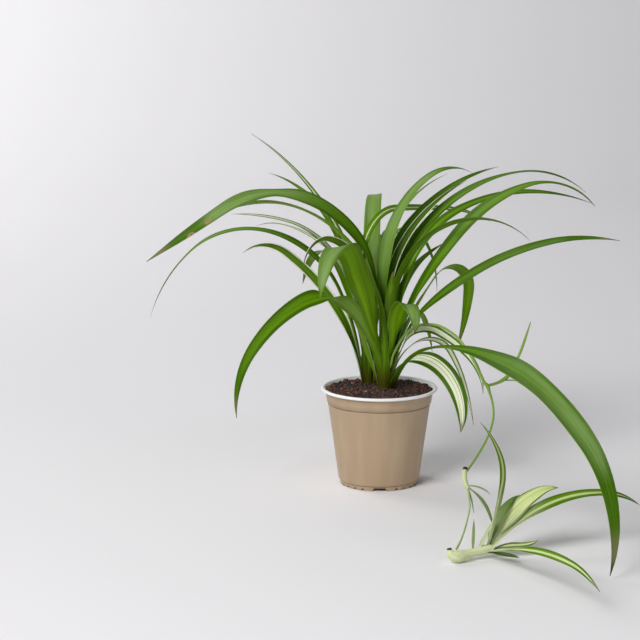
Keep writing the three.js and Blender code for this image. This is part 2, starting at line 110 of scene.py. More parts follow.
class Nodes:
    """Short way to add and join the nodes of a material or of a node group."""

    def __init__(self, tree):
        self.tree = tree

    def fill(self, node, inputs):
        """Joins a socket to each named input, or sets a plain value on it."""
        for key, value in inputs.items():
            if isinstance(value, bpy.types.NodeSocket):
                self.tree.links.new(value, node.inputs[key])
            else:
                node.inputs[key].default_value = value

    def add(self, kind, inputs=None, **settings):
        """A new node of a kind. Its settings come first, since some of them make inputs."""
        node = self.tree.nodes.new(kind)
        for key, value in settings.items():
            setattr(node, key, value)
        self.fill(node, inputs or {})
        return node

    def place(self):
        """Where a point lies on the object, in metres."""
        return self.add("ShaderNodeTexCoord").outputs["Object"]

    def point_value(self, key):
        """A named number that the mesh holds for each point."""
        return self.add("ShaderNodeAttribute", attribute_name=key).outputs["Fac"]

    def math(self, operation, a, b=0.0, c=0.0):
        """One step of arithmetic on up to three numbers."""
        return self.add("ShaderNodeMath", {0: a, 1: b, 2: c}, operation=operation).outputs[0]

    def noise(self, vector, scale, detail=2.0, roughness=0.5):
        """Cloudy noise, mostly from 0.3 to 0.7."""
        inputs = {"Vector": vector, "Scale": scale, "Detail": detail, "Roughness": roughness}
        return self.add("ShaderNodeTexNoise", inputs).outputs["Fac"]

    def spread(self, value, low, high, to_low=0.0, to_high=1.0, kind="SMOOTHSTEP"):
        """Takes a value from the range low to high to another range, and holds it there."""
        inputs = {"Value": value, 1: low, 2: high, 3: to_low, 4: to_high}
        node = self.add("ShaderNodeMapRange", inputs, interpolation_type=kind, clamp=True)
        return node.outputs["Result"]

    def mix(self, factor, a, b):
        """Colour a where the factor is 0, colour b where it is 1."""
        return self.add("ShaderNodeMix", {0: factor, 6: a, 7: b}, data_type="RGBA").outputs[2]

    def scaled(self, vector, x, y, z):
        """The vector with each of its axes multiplied by its own number."""
        inputs = {"Vector": vector, "Scale": (x, y, z)}
        return self.add("ShaderNodeMapping", inputs).outputs[0]

    def bump(self, strength, distance, height):
        """A normal that is tilted by a height, as fine relief."""
        inputs = {"Strength": strength, "Distance": distance, "Height": height}
        return self.add("ShaderNodeBump", inputs).outputs[0]


def new_material(name):
    """An empty material with its node helper, its shader and its output."""
    material = bpy.data.materials.new(name)
    material.use_nodes = True
    material.node_tree.nodes.clear()
    nodes = Nodes(material.node_tree)
    shader = nodes.add("ShaderNodeBsdfPrincipled")
    output = nodes.add("ShaderNodeOutputMaterial", {"Surface": shader.outputs[0]})
    return material, nodes, shader, output


def turned(profile, sides):
    """Points of a profile turned about the upright axis, one ring a profile point, and the
    angle of each side."""
    angle = np.arange(sides) * (2 * math.pi / sides)
    ring = np.stack([np.cos(angle), np.sin(angle)], -1)
    flat = profile[:, None, :1] * ring[None]
    high = np.broadcast_to(profile[:, None, 1:], (len(profile), sides, 1))
    return np.concatenate([flat, high], -1), angle


def pot_profile():
    """Radius and height along the pot's section: foot ring, step, wall, groove, collar, lip
    as a half circle, and down the inside to the floor."""
    lip_base = POT_HEIGHT - LIP_HEIGHT
    foot = [
        (BASE_RADIUS - 4.6, 2.8), (BASE_RADIUS - 4.2, 1.4), (BASE_RADIUS - 3.6, 0.2),
        (BASE_RADIUS - 3.4, 0), (BASE_RADIUS - 0.3, 0), (BASE_RADIUS, 0.3),
    ]
    step = [
        (BASE_RADIUS + 0.3, FOOT_STEP - 0.5), (BASE_RADIUS + 0.4, FOOT_STEP),
        (BASE_RADIUS + 1.2, FOOT_STEP + 0.3), (BASE_RADIUS + 1.5, FOOT_STEP + 0.9),
    ]
    wall = [(47.2, 45), (52.5, GROOVE_HEIGHT - 1.7), (52.8, GROOVE_HEIGHT - 0.9)]
    groove = [
        (52.75, GROOVE_HEIGHT - 0.4), (52.45, GROOVE_HEIGHT), (52.5, GROOVE_HEIGHT + 0.4),
        (53.3, GROOVE_HEIGHT + 0.8), (53.6, GROOVE_HEIGHT + 1.3),
    ]
    t = np.array([0.97, 0.5, 0.03, 0])
    collar = np.stack([COLLAR_RADIUS - COLLAR_TAPER * t, lip_base - COLLAR_HEIGHT * t], -1)
    arc = np.linspace(0, math.pi, 9)
    lip = np.stack([RIM_RADIUS - 1 + np.sin(arc), lip_base + LIP_HEIGHT / 2 * (1 - np.cos(arc))], -1)
    inside = [
        (57.2, POT_HEIGHT), (56.5, POT_HEIGHT - 0.3), (56.2, POT_HEIGHT - 0.9), (54.6, 97.5),
        (52.4, 85), (50.8, 83), (40.6, FLOOR_HEIGHT + 2), (39, FLOOR_HEIGHT), (15, FLOOR_HEIGHT), (13, 1.6),
    ]
    return np.concatenate([foot, step, wall, groove, collar, [(56.2, lip_base)], lip, inside])


def pot_points():
    """The pot's rings. The foot ring's lowest points are raised by its notches and, at each
    quarter, by a wider gate, whose sides are steep ramps."""
    rings, angle = turned(pot_profile(), POT_SIDES)
    pitch = 2 * math.pi / FOOT_NOTCHES
    turn = np.mod(angle + math.pi / 2 + pitch / 2, 2 * math.pi)
    number = np.floor(turn / pitch)
    off = np.abs(turn - (number + 0.5) * pitch) * BASE_RADIUS
    near_gate = np.isin(np.mod(number, GATE_EVERY), (0, 1, GATE_EVERY - 1))
    near = np.abs(np.mod(turn - pitch / 2 + math.pi / 4, math.pi / 2) - math.pi / 4) * BASE_RADIUS
    gate = GATE_HEIGHT * np.clip((GATE_WIDTH / 2 - near) / NOTCH_EDGE, 0, 1)
    notch = NOTCH_HEIGHT * np.clip((NOTCH_WIDTH / 2 - off) / NOTCH_EDGE, 0, 1) * ~near_gate
    foot = slice(1, 6)
    rings[foot, :, 2] = np.maximum(rings[foot, :, 2], np.maximum(gate, notch)[None])
    return rings


def pot_material():
    """Satin plastic: taupe with faint upright flow marks and painted shade in its groove and
    foot step creases, white lip and inside. The inside is what lies nearer the axis than the
    wider of two cones, which run between the pot's outer and inner faces."""
    material, nodes, shader, _ = new_material("pot_plastic")
    place = nodes.place()
    height = nodes.add("ShaderNodeSeparateXYZ", {0: place}).outputs["Z"]
    flat = nodes.scaled(place, 1, 1, 0)
    reach = nodes.add("ShaderNodeVectorMath", {0: flat}, operation="LENGTH").outputs["Value"]
    marks = nodes.noise(nodes.scaled(place, 60, 60, 3), 1.0, 3.0)
    cloud = nodes.noise(place, 18.0, 3.0)
    tint = nodes.mix(nodes.spread(marks, 0.35, 0.7), TAUPE_MARK, TAUPE)
    tint = nodes.mix(nodes.spread(cloud, 0.4, 0.75, 0, 0.3), tint, TAUPE_CLOUD)
    # Painted shade darkens the groove under the collar and the crease over the foot step.
    for crease in (GROOVE_HEIGHT + 0.2, FOOT_STEP):
        off = nodes.math("ABSOLUTE", nodes.math("SUBTRACT", height, crease * MM))
        tint = nodes.mix(nodes.spread(off, 0.3 * MM, 0.8 * MM, 0.75, 0.0), tint, CREASE_SHADE_BROWN)
    lip_base = POT_HEIGHT - LIP_HEIGHT
    lip = nodes.spread(height, (lip_base - 0.15) * MM, (lip_base + 0.1) * MM)
    wall = nodes.math("MULTIPLY_ADD", height, WALL_SLOPE, BASE_RADIUS * MM)
    throat = nodes.math("MULTIPLY_ADD", height, THROAT_SLOPE, THROAT_RADIUS * MM)
    inside = nodes.math("LESS_THAN", reach, nodes.math("MAXIMUM", wall, throat))
    above = nodes.math("GREATER_THAN", height, (FLOOR_HEIGHT + 1.9) * MM)
    white = nodes.math("MAXIMUM", lip, nodes.math("MULTIPLY", inside, above))
    nodes.fill(shader, {
        "Base Color": nodes.mix(white, tint, LIP_WHITE),
        "Roughness": nodes.spread(cloud, 0.3, 0.7, 0.42, 0.52),
        "Normal": nodes.bump(0.12, 0.0003, nodes.noise(place, 900.0, 2.0)),
    })
    return material


pot_rings = pot_points()
pot_faces = closed_grid(len(pot_rings), POT_SIDES)
new_piece("pot_shell", pot_rings.reshape(-1, 3), pot_faces, pot_material(), ["pot"])

# Soil: moist dark peat mix with coarse crumbs, poured into the pot and lightly pressed. It
# ends 5 mm below the rim, and is banked up a little towards the wall.
SOIL_HEIGHT = 96
SOIL_REACH = 54.2
SOIL_SIDES = 96
SOIL_RINGS = 40
SOIL_SKIRT = ((SOIL_REACH, 94), (52.3, 84), (40, 6))
SOIL_LIFT = 0.1
SOIL_WAVE = 0.45
SOIL_BANK = 1.5
CRUMB_COUNT = 5200
CRUMB_SEED = 4
CRUMB_SIZE = 0.6
CRUMB_SPREAD = 2.4
PEAT_BLACK = (0.006, 0.003, 0.0025, 1)
PEAT_BROWN = (0.028, 0.012, 0.008, 1)
CRUMB_RED = (0.19, 0.052, 0.03, 1)
CRUMB_PALE = (0.32, 0.24, 0.19, 1)


def soil_height(x, y):
    """Height of the soil at x, y: the sum of a few slow waves, banked up towards the wall
    by the square of the distance from the middle."""
    wave = np.sin(x / 7.1 + 1) * np.sin(y / 6.3)
    wave = wave + 0.7 * np.sin((x + y) / 4.3) + 0.5 * np.sin((x - 2 * y) / 3.1)
    return SOIL_HEIGHT + SOIL_LIFT + SOIL_WAVE * wave + SOIL_BANK * (x**2 + y**2) / SOIL_REACH**2


def soil_surface():
    """A disc of rings, lifted to the soil's height, with a skirt inside the pot's wall."""
    skirt = np.array(SOIL_SKIRT)
    radius = np.concatenate([np.linspace(0.5, SOIL_REACH, SOIL_RINGS), skirt[:, 0]])
    angle = np.arange(SOIL_SIDES) * (2 * math.pi / SOIL_SIDES)
    x = radius[:, None] * np.cos(angle)
    y = radius[:, None] * np.sin(angle)
    z = soil_height(x, y)
    z[-len(skirt):] = skirt[:, 1:]
    return np.stack([x, y, z], -1)[::-1]


def crumb_cloud(count, seed):
    """Points, faces and tone of loose crumbs, thrown over the soil's disc: octahedra a
    little flattened, with corners at 0.7 to 1.3 of their size, turned and tilted at random.
    Their size grows with the cube of a random share, so that most are small."""
    draw = np.random.default_rng(seed)
    reach = (SOIL_REACH - 0.6) * np.sqrt(draw.random(count))
    angle = draw.random(count) * 2 * math.pi
    x, y = reach * np.cos(angle), reach * np.sin(angle)
    size = CRUMB_SIZE + CRUMB_SPREAD * draw.random(count) ** 3
    corners = np.array([[1, 0, 0], [0, 1, 0], [-1, 0, 0], [0, -1, 0], [0, 0, 1], [0, 0, -1]])
    shape = corners[None] * (0.7 + 0.6 * draw.random((count, 6, 3)))
    turn = draw.random(count) * 2 * math.pi
    cos, sin = np.cos(turn)[:, None], np.sin(turn)[:, None]
    flat_x = shape[..., 0] * cos - shape[..., 1] * sin
    flat_y = shape[..., 0] * sin + shape[..., 1] * cos
    tilt = shape[..., 2] * 0.8 + 0.3 * flat_x * draw.normal(size=(count, 1))
    centre = np.stack([x, y, soil_height(x, y) + 0.15 * size], -1)
    points = centre[:, None] + np.stack([flat_x, flat_y, tilt], -1) * size[:, None, None]
    upper = np.array([[0, 1, 4], [1, 2, 4], [2, 3, 4], [3, 0, 4]])
    lower = np.array([[1, 0, 5], [2, 1, 5], [3, 2, 5], [0, 3, 5]])
    faces = np.concatenate([upper, lower])[None] + 6 * np.arange(count)[:, None, None]
    return points.reshape(-1, 3), faces.reshape(-1, 3), np.repeat(draw.random(count), 6)


def soil_material():
    """Moist peat: near black and brown, with red-brown crumbs and a few pale specks, rough."""
    material, nodes, shader, _ = new_material("soil_peat")
    tone = nodes.point_value("tone")
    grain = nodes.noise(nodes.place(), 420.0, 4.0, 0.7)
    colour = nodes.mix(nodes.spread(grain, 0.35, 0.65), PEAT_BLACK, PEAT_BROWN)
    colour = nodes.mix(nodes.spread(tone, 0.5, 1.0, 0, 0.8), colour, CRUMB_RED)
    colour = nodes.mix(nodes.spread(tone, 0.985, 0.99), colour, CRUMB_PALE)
    bump = nodes.bump(0.8, 0.0006, grain)
    nodes.fill(shader, {"Base Color": colour, "Roughness": 0.7, "Normal": bump})
    return material


soil_rings = soil_surface()
soil_points = soil_rings.reshape(-1, 3)
crumbs, crumb_faces, crumb_tone = crumb_cloud(CRUMB_COUNT, CRUMB_SEED)
new_piece(
    "soil_crumbs", np.concatenate([soil_points, crumbs]),
    closed_grid(len(soil_rings), SOIL_SIDES) + (crumb_faces + len(soil_points)).tolist(),
    soil_material(), ["soil"], smooth=False,
    values={"tone": np.concatenate([np.full(len(soil_points), 0.2), crumb_tone])},
)

# Crowns: two tight bundles of living leaf feet, rooted in the soil. Each has a ribbed core
# that its youngest leaves close to a blunt cone, and the leaves' own sheathing feet wrap
# round it.
CROWNS = {
    "front": dict(x=7, y=12, radius=8.4, taper=0.03, top=40),
    "back": dict(x=-10, y=30, radius=6.2, taper=0.03, top=34),
}
CORE_SIDES = 96
CORE_INSET = 1.4
CORE_RISES = (-10, 0, 8, 16, 24, 32)
CONE_RISES = (0, 5, 12, 20, 26)
CONE_SHARES = (1, 0.95, 0.8, 0.5, 0.2)
CORE_RIBS = 8
RIB_DEPTH = 0.07
RIB_LEAN = 25
PATTERN_LENGTH = 300
SOIL_SHADE_REACH = 36
DARK_GREENS = ((0.011, 0.066, 0.001, 1), (0.026, 0.115, 0.0015, 1))
LIGHT_GREENS = ((0.15, 0.36, 0.002, 1), (0.225, 0.47, 0.003, 1))
VEIN_GREEN = (0.37, 0.6, 0.01, 1)
# Painted sheen: the grey green of glossy light caught on the upper parts of the leaves.
SHEEN_GREY = (0.27, 0.4, 0.14, 1)
HEM_GREEN = (0.42, 0.58, 0.06, 1)
RIB_GREEN = (0.24, 0.42, 0.02, 1)
UNDER_GREEN = (0.27, 0.46, 0.012, 1)
GLOW_GREEN = (0.3, 0.52, 0.002, 1)
# Painted shade: dark olive for leaf feet and cores near the soil.
PAINTED_SOIL_SHADE = (0.07, 0.058, 0.004, 1)
FOOT_CREAM = (0.88, 0.9, 0.64, 1)
FOOT_GREEN = (0.66, 0.76, 0.33, 1)
DRY_TIP = (0.23, 0.21, 0.1, 1)
DEAD_TIP = (0.05, 0.028, 0.014, 1)
SCAR_TAN = (0.4, 0.25, 0.12, 1)
SCAR_BROWN = (0.12, 0.05, 0.025, 1)
MATT_SHARE = 0.55
GLOW_SHARE = 0.2
PLAIN_BLADE = dict(centre=-1, margin=2, tip=0, pale=0, under=0, low=0, worn=0, haze=0)


def near_soil(height):
    """1 at the soil and below, falling evenly to 0 at the reach of its shade above it."""
    return np.clip(1 - (height - SOIL_HEIGHT) / SOIL_SHADE_REACH, 0, 1)


def crown_core(crown):
    """Rings of a round core with rounded ribs, each one hump of a sine wave round it. They
    lean a little, because the wave shifts by one radian for each RIB_LEAN of height."""
    rise = np.concatenate([CORE_RISES, crown["top"] + np.array(CONE_RISES)])
    angle = np.arange(CORE_SIDES) * (2 * math.pi / CORE_SIDES)
    radius = crown["radius"] - crown["taper"] * rise - CORE_INSET
    radius[-len(CONE_SHARES):] *= CONE_SHARES
    wave = np.sin(CORE_RIBS / 2 * angle[None] + rise[:, None] / RIB_LEAN)
    rib = RIB_DEPTH * radius[:, None] * np.abs(wave)
    reach = radius[:, None] - rib
    x = crown["x"] + reach * np.cos(angle)
    y = crown["y"] + reach * np.sin(angle)
    z = np.broadcast_to(SOIL_HEIGHT + rise[:, None], x.shape)
    return np.stack([x, y, z], -1)


def vein_group():
    """Fine lengthwise veins of a blade. Place is the across and along place, Lines is a
    0 to 1 mask of veins whose strength wanders along the blade, and Cloud is slow blotches."""
    group = bpy.data.node_groups.new("blade_veins", "ShaderNodeTree")
    group.interface.new_socket(name="Place", in_out="INPUT", socket_type="NodeSocketVector")
    group.interface.new_socket(name="Lines", in_out="OUTPUT", socket_type="NodeSocketFloat")
    group.interface.new_socket(name="Cloud", in_out="OUTPUT", socket_type="NodeSocketFloat")
    nodes = Nodes(group)
    place = nodes.add("NodeGroupInput").outputs["Place"]
    across = nodes.add("ShaderNodeSeparateXYZ", {0: place}).outputs["X"]
    wave = nodes.spread(nodes.math("SINE", nodes.math("MULTIPLY", across, 76.0)), -0.4, 1.0)
    wander = nodes.spread(nodes.noise(nodes.scaled(place, 24, 7, 1), 1.0), 0.3, 0.7, 0.25, 0.75)
    fibre = nodes.math("MULTIPLY", nodes.noise(nodes.scaled(place, 90, 5, 1), 1.0, 3.0), 0.3)
    nodes.add("NodeGroupOutput", {
        "Lines": nodes.math("MULTIPLY_ADD", wave, wander, fibre),
        "Cloud": nodes.noise(nodes.scaled(place, 2.5, 6, 1), 1.0, 3.0),
    })
    return group


VEINS = vein_group()


def blade_green(nodes, value, shifted, off, rib, lines, cloud):
    """The green of a blade: lighter towards the middle, streaked along, veined, with a painted
    grey sheen, a pale hem and rib, paler below, darker past about four fifths of its length as
    painted shade where it turns down, and darker near the soil as painted shade."""
    dark = nodes.mix(cloud, *DARK_GREENS)
    light = nodes.mix(cloud, *LIGHT_GREENS)
    streak = nodes.noise(nodes.scaled(shifted, 5.5, 1.3, 1), 1.0, 3.0)
    middle = nodes.math("ADD", nodes.spread(off, 0.15, 0.85, 0.24, -0.24), value["tone"])
    middle = nodes.math("ADD", middle, nodes.math("MULTIPLY_ADD", streak, 2.0, -1.0))
    # Painted shade: darker from about 0.78 to 0.86 of the way to the tip, where leaves turn down.
    middle = nodes.math("ADD", middle, nodes.spread(value["tip"], 0.78, 0.86, 0.0, -0.28))
    green = nodes.mix(nodes.spread(middle, 0.0, 1.1, kind="LINEAR"), dark, light)
    green = nodes.mix(nodes.math("MULTIPLY", lines, 0.7), green, nodes.mix(0.45, green, VEIN_GREEN))
    # Painted sheen: grey green mixed in where the sheen value is set, less towards the edges.
    sheen_amount = nodes.math("MULTIPLY", value["haze"], nodes.spread(cloud, 0.3, 0.7, 0.35, 0.85))
    sheen_amount = nodes.math("MULTIPLY", sheen_amount, nodes.spread(off, 0.4, 0.95, 1.0, 0.4))
    green = nodes.mix(sheen_amount, green, SHEEN_GREY)
    green = nodes.mix(nodes.spread(off, 0.9, 0.98, 0.0, 0.3), green, HEM_GREEN)
    green = nodes.mix(nodes.math("MULTIPLY", rib, 0.22), green, RIB_GREEN)
    green = nodes.mix(nodes.math("MULTIPLY", value["under"], 0.2), green, UNDER_GREEN)
    # Painted shade near the soil: low darkens the green towards dark olive.
    return nodes.mix(nodes.spread(value["low"], 0.0, 0.85, 0.0, 0.93), green, PAINTED_SOIL_SHADE)


def cream_mask(nodes, value, shifted, off, wobble):
    """1 in the cream band of the middle and in the pale margin, with wavering edges and a
    few green strips, and weak at the foot."""
    edge = nodes.math("ADD", off, nodes.math("MULTIPLY_ADD", wobble, 0.3, -0.15))
    band = nodes.spread(nodes.math("SUBTRACT", value["centre"], edge), -0.04, 0.06)
    strip = nodes.noise(nodes.scaled(shifted, 24, 0.8, 1), 1.0, 1.0)
    band = nodes.math("MULTIPLY", band, nodes.spread(strip, 0.36, 0.42, 0.25, 1.0))
    rim = nodes.spread(nodes.math("SUBTRACT", edge, value["margin"]), -0.02, 0.05)
    grown = nodes.spread(value["tip"], 0.0, 0.3, 0.15, 1.0)
    return nodes.math("MULTIPLY", nodes.math("MAXIMUM", band, rim), grown)


def dried(nodes, value, shifted, wobble, colour):
    """The colour with a ragged dry tip, dead at its very end, and with its brown scars."""
    ragged = nodes.math("MULTIPLY_ADD", wobble, 0.04, value["tip"])
    colour = nodes.mix(nodes.spread(ragged, 0.93, 0.98, 0.0, 0.8), colour, DRY_TIP)
    colour = nodes.mix(nodes.spread(ragged, 0.99, 1.02), colour, DEAD_TIP)
    speck = nodes.noise(nodes.scaled(shifted, 8, 60, 1), 1.0)
    scar = nodes.math("MULTIPLY_ADD", speck, 0.6, value["worn"])
    colour = nodes.mix(nodes.spread(scar, 0.62, 0.8), colour, SCAR_TAN)
    return nodes.mix(nodes.spread(scar, 0.95, 1.1), colour, SCAR_BROWN)


def leaf_material(name, cream_tint, vein_tint):
    """A waxy living blade that lets some light through. Its point values say how light its
    green is, with painted shade towards the foot (tone), where the cream band in the middle
    ends (centre) and the pale margin starts (margin), both as shares of the half width, its
    place from foot to tip (tip, dry towards 1), how pale its foot is (pale), which face it is
    (under), how much painted shade it takes near the soil (low), where it is scarred (worn),
    how much painted sheen it has (sheen), and where its pattern starts (seed)."""
    material, nodes, shader, output = new_material(name)
    value = {key: nodes.point_value(key) for key in ("tone", "seed", *PLAIN_BLADE)}
    uv = nodes.add("ShaderNodeUVMap", uv_map="blade").outputs[0]
    offset = nodes.add("ShaderNodeCombineXYZ", {"Z": value["seed"]}).outputs[0]
    shifted = nodes.add("ShaderNodeVectorMath", {0: uv, 1: offset}, operation="ADD").outputs[0]
    veins = nodes.add("ShaderNodeGroup", {"Place": shifted}, node_tree=VEINS)
    lines, cloud = veins.outputs["Lines"], veins.outputs["Cloud"]
    across = nodes.add("ShaderNodeSeparateXYZ", {0: uv}).outputs["X"]
    off = nodes.math("ABSOLUTE", nodes.math("MULTIPLY_ADD", across, 2.0, -1.0))
    rib = nodes.spread(off, 0.0, 0.08, 1.0, 0.0)
    wobble = nodes.noise(nodes.scaled(shifted, 30, 3, 1), 1.0)
    green = blade_green(nodes, value, shifted, off, rib, lines, cloud)
    cream = cream_mask(nodes, value, shifted, off, wobble)
    cream_colour = nodes.mix(nodes.math("MULTIPLY", lines, 0.2), cream_tint, vein_tint)
    foot = nodes.mix(lines, FOOT_CREAM, FOOT_GREEN)
    colour = nodes.mix(value["pale"], nodes.mix(cream, green, cream_colour), foot)
    colour = dried(nodes, value, shifted, wobble, colour)
    lit = nodes.math("MULTIPLY_ADD", value["low"], -0.5, 0.5)
    glow_tint = nodes.mix(cream, nodes.mix(lit, green, GLOW_GREEN), cream_colour)
    bump = nodes.bump(0.35, 0.0004, nodes.math("MULTIPLY_ADD", rib, -1.2, lines))
    rough = nodes.spread(cloud, 0.3, 0.7, 0.27, 0.38)
    skin = {"Base Color": colour, "Roughness": rough, "Normal": bump, "Specular IOR Level": 0.22}
    nodes.fill(shader, skin)
    matt = nodes.add("ShaderNodeBsdfDiffuse", {"Color": colour, "Normal": bump})
    glow = nodes.add("ShaderNodeBsdfTranslucent", {"Color": glow_tint, "Normal": bump})
    shares = {0: MATT_SHARE, 1: shader.outputs[0], 2: matt.outputs[0]}
    waxy = nodes.add("ShaderNodeMixShader", shares)
    shares = {0: GLOW_SHARE, 1: waxy.outputs[0], 2: glow.outputs[0]}
    blend = nodes.add("ShaderNodeMixShader", shares)
    nodes.fill(output, {"Surface": blend.outputs[0]})
    return material


LEAF = leaf_material("leaf_blade", (0.97, 0.98, 0.78, 1), (0.55, 0.68, 0.16, 1))
for crown_name, crown in CROWNS.items():
    core = crown_core(crown).reshape(-1, 3)
    share = np.tile(np.linspace(0, 1, CORE_SIDES), len(core) // CORE_SIDES)
    # low gives each core painted shade near the soil.
    new_piece(
        "core_" + crown_name, core, closed_grid(len(core) // CORE_SIDES, CORE_SIDES), LEAF,
        ["crown_" + crown_name], uv=np.stack([share, core[:, 2] / PATTERN_LENGTH], -1),
        values=PLAIN_BLADE | dict(tone=0.4, seed=1, low=near_soil(core[:, 2])),
    )

# Leaves: long living straps that grow from the crowns, arch over and taper to a point. Each
# wraps its foot round the crown as a sheath, is folded along its rib into a shallow gutter,
# and opens out along its length.
STATIONS = np.linspace(0, 1, 5)
LINE_STEPS = 240
RINGS = 80
SHEATH_RINGS = 8
FACE_POINTS = 11
FOOT_WIDTH = 9
FOOT_SHARE = 0.6
FOOT_GAP = 0.65
ROOT_INSET = 1.5
ROOT_DEPTH = 3
TIP_WIDTH = 0.5
TIP_POWER = 0.9
FULL_AT = 0.35
FOOT_TURN_REACH = 0.25
TURN_START = 0.06
TURN_REACH = 0.4
END_TURN_START = 0.5
END_TURN_REACH = 0.3
HALF_THICKNESS = 0.42
SLIM_THICKNESS = 0.2
EDGE_THINNING = 0.6
EDGE_DROP = 0.05
OPEN_FOLD = 23
FOOT_FOLD = 24
FOOT_FOLD_RISE = 0.1
FOOT_FOLD_TOP = 0.12
FOOT_FOLD_FALL = 0.3
SHEATH_FOLD = 34
BEND_FLATTENING = 0.75
SHARP_BEND = 1.1
SHEATH_WIDER = 0.35
SHEATH_BELLY = 0.45
WAVE_SHARE = 0.08
WAVE_STEP = 17
RIB_BOW = 0.11
FOOT_BOW = 0.6
FOOT_BOW_REACH = 70
FOOT_SHADE = 0.25
FOOT_SHADE_REACH = 130
PALE_REACH = 80
SOIL_SHADE_LENGTH = 40
# These set where along a blade its painted sheen rises, ends and how strong it is.
SHEEN_RISE = 0.3
SHEEN_FALL = 0.06
SLIGHT_SHEEN = (0.3, 0.78, 0.2)


def ease(t):
    """A smooth step from 0 to 1 as t goes from 0 to 1: three t squared less two t cubed."""
    t = np.clip(t, 0, 1)
    return t * t * (3 - 2 * t)


def blade_way(heading, swing, leans, s):
    """Direction, and upper face's normal, at each share s of a leaf's length. The lean from
    upright is even between five stations, and the heading swings evenly."""
    lean = np.radians(np.interp(s, STATIONS, leans))[:, None]
    turn = np.radians(heading + swing * s)
    flat = np.stack([np.cos(turn), np.sin(turn)], -1)
    along = np.concatenate([np.sin(lean) * flat, np.cos(lean)], -1)
    up = np.concatenate([-np.cos(lean) * flat, np.sin(lean)], -1)
    return along, up


def blade_line(foot, way, leans, s):
    """Point, direction and upper face's normal at each share s. The line is the sum of many
    small steps from the foot, each along the mean of the directions at its ends."""
    heading, swing, length = way
    fine = np.linspace(0, 1, LINE_STEPS + 1)
    along, _ = blade_way(heading, swing, leans, fine)
    steps = (along[1:] + along[:-1]) / 2 * length / LINE_STEPS
    line = np.asarray(foot, dtype=float) + np.concatenate([np.zeros((1, 3)), np.cumsum(steps, 0)])
    point = np.stack([np.interp(s, fine, line[:, k]) for k in range(3)], -1)
    return point, *blade_way(heading, swing, leans, s)


def blade_width(s, width, taper, full, waist):
    """Width at s: it grows from the foot's by a smooth step up to the share where it is
    full, and falls to the tip as one less s to the power of its taper, all to a power
    just under one. A waist takes off its loss times a bell curve round its middle, as wide
    as its reach."""
    foot_width = min(FOOT_SHARE * width, FOOT_WIDTH)
    grown = foot_width + (width - foot_width) * ease(s / full)
    across = np.maximum(grown * np.clip(1 - s**taper, 0, 1) ** TIP_POWER, TIP_WIDTH)
    if waist:
        middle, reach, loss = waist
        across = across * (1 - loss * np.exp(-(((s - middle) / reach) ** 2)))
    return across


def blade_roll(s, turn, foot_turn, late, end_turn):
    """Turn about the leaf's own line at s, in degrees: the foot's turn fades out, the turn
    sets in, and an end turn comes on past the middle, each by a smooth step. late is the
    share by which the fade and the start of the turn are held back."""
    at_foot = foot_turn * (1 - ease((s - late) / FOOT_TURN_REACH))
    beyond = turn * ease((s - TURN_START - late) / (TURN_REACH - late))
    return at_foot + beyond + end_turn * ease((s - END_TURN_START) / END_TURN_REACH)


def blade_fold(s, leans, length):
    """Angle by which each half rises from the rib, in degrees. It is more near the foot, by
    one smooth step up and one down, and less where the leaf bends sharply, because a bend
    presses the gutter flat."""
    foot_part = ease(s / FOOT_FOLD_RISE) * (1 - ease((s - FOOT_FOLD_TOP) / FOOT_FOLD_FALL))
    fold = OPEN_FOLD + FOOT_FOLD * foot_part
    between = (STATIONS[1:] + STATIONS[:-1]) / 2
    bend = np.abs(np.interp(s, between, np.diff(leans) / (length * STATIONS[1])))
    return fold * (1 - BEND_FLATTENING * ease(bend / SHARP_BEND))


def blade_rings(point, side, up, half, fold, wave, bow):
    """Closed loops round a blade, the place of each of their points across it, and which
    face it is on. They run across the upper face and back across the lower one. The two
    halves rise from the rib by the fold, in a curve as round as the bow, and a wave lifts
    the edges."""
    u = np.sin(np.linspace(-math.pi / 2, math.pi / 2, FACE_POINTS))
    u = np.concatenate([u, u[-2:0:-1]])
    face = np.concatenate([np.ones(FACE_POINTS), -np.ones(FACE_POINTS - 2)])
    face[[0, FACE_POINTS - 1]] = 0
    half, fold, wave, bow = half[:, None], fold[:, None], wave[:, None], bow[:, None]
    across = half * u * np.cos(fold)
    curve = np.sqrt(u**2 + bow**2) - bow
    lift = half * curve * np.sin(fold) - EDGE_DROP * half * np.abs(u) ** 4
    lift = lift + wave * np.abs(u) ** 3 * np.sign(u)
    thick = np.minimum(HALF_THICKNESS, SLIM_THICKNESS * half) * (1 - EDGE_THINNING * np.abs(u)) * face
    points = point[:, None] + side[:, None] * across[..., None] + up[:, None] * (lift + thick)[..., None]
    return points, u, (1 - face) / 2


def sheath_curve(root, foot, along):
    """A smooth curve that leaves the root straight up and reaches the foot along the blade,
    by the cubic that fits both ends and both directions. Its last point isn't given. Also
    the share of each point, and the distance from end to end."""
    t = np.linspace(0, 1, SHEATH_RINGS + 1)[:-1, None]
    reach = np.linalg.norm(foot - root)
    start_way, end_way = np.array([0, 0, reach]), along * reach
    ends = (2 * t**3 - 3 * t**2 + 1) * root + (3 * t**2 - 2 * t**3) * foot
    return ends + (t**3 - 2 * t**2 + t) * start_way + (t**3 - t**2) * end_way, t[:, 0], reach


def scar_depth(scars, s, u, length, half):
    """1 in the middle of each scar, falling evenly to 0 at its reach. A scar has its share
    along, its share of the half width across, and its reach."""
    depth = np.zeros((len(s), len(u)))
    for along, across, reach in scars:
        off = np.hypot((s[:, None] - along) * length, (u[None] - across) * half[:, None])
        depth = np.maximum(depth, np.clip(1 - off / reach, 0, 1))
    return depth.ravel()


def haze_share(haze, s):
    """How much painted sheen a blade has at s: from the share where it starts it rises to its
    strength by a smooth step, and at the share where it ends it falls again."""
    start, end, strength = haze
    return strength * ease((s - start) / SHEEN_RISE) * (1 - ease((s - end) / SHEEN_FALL))


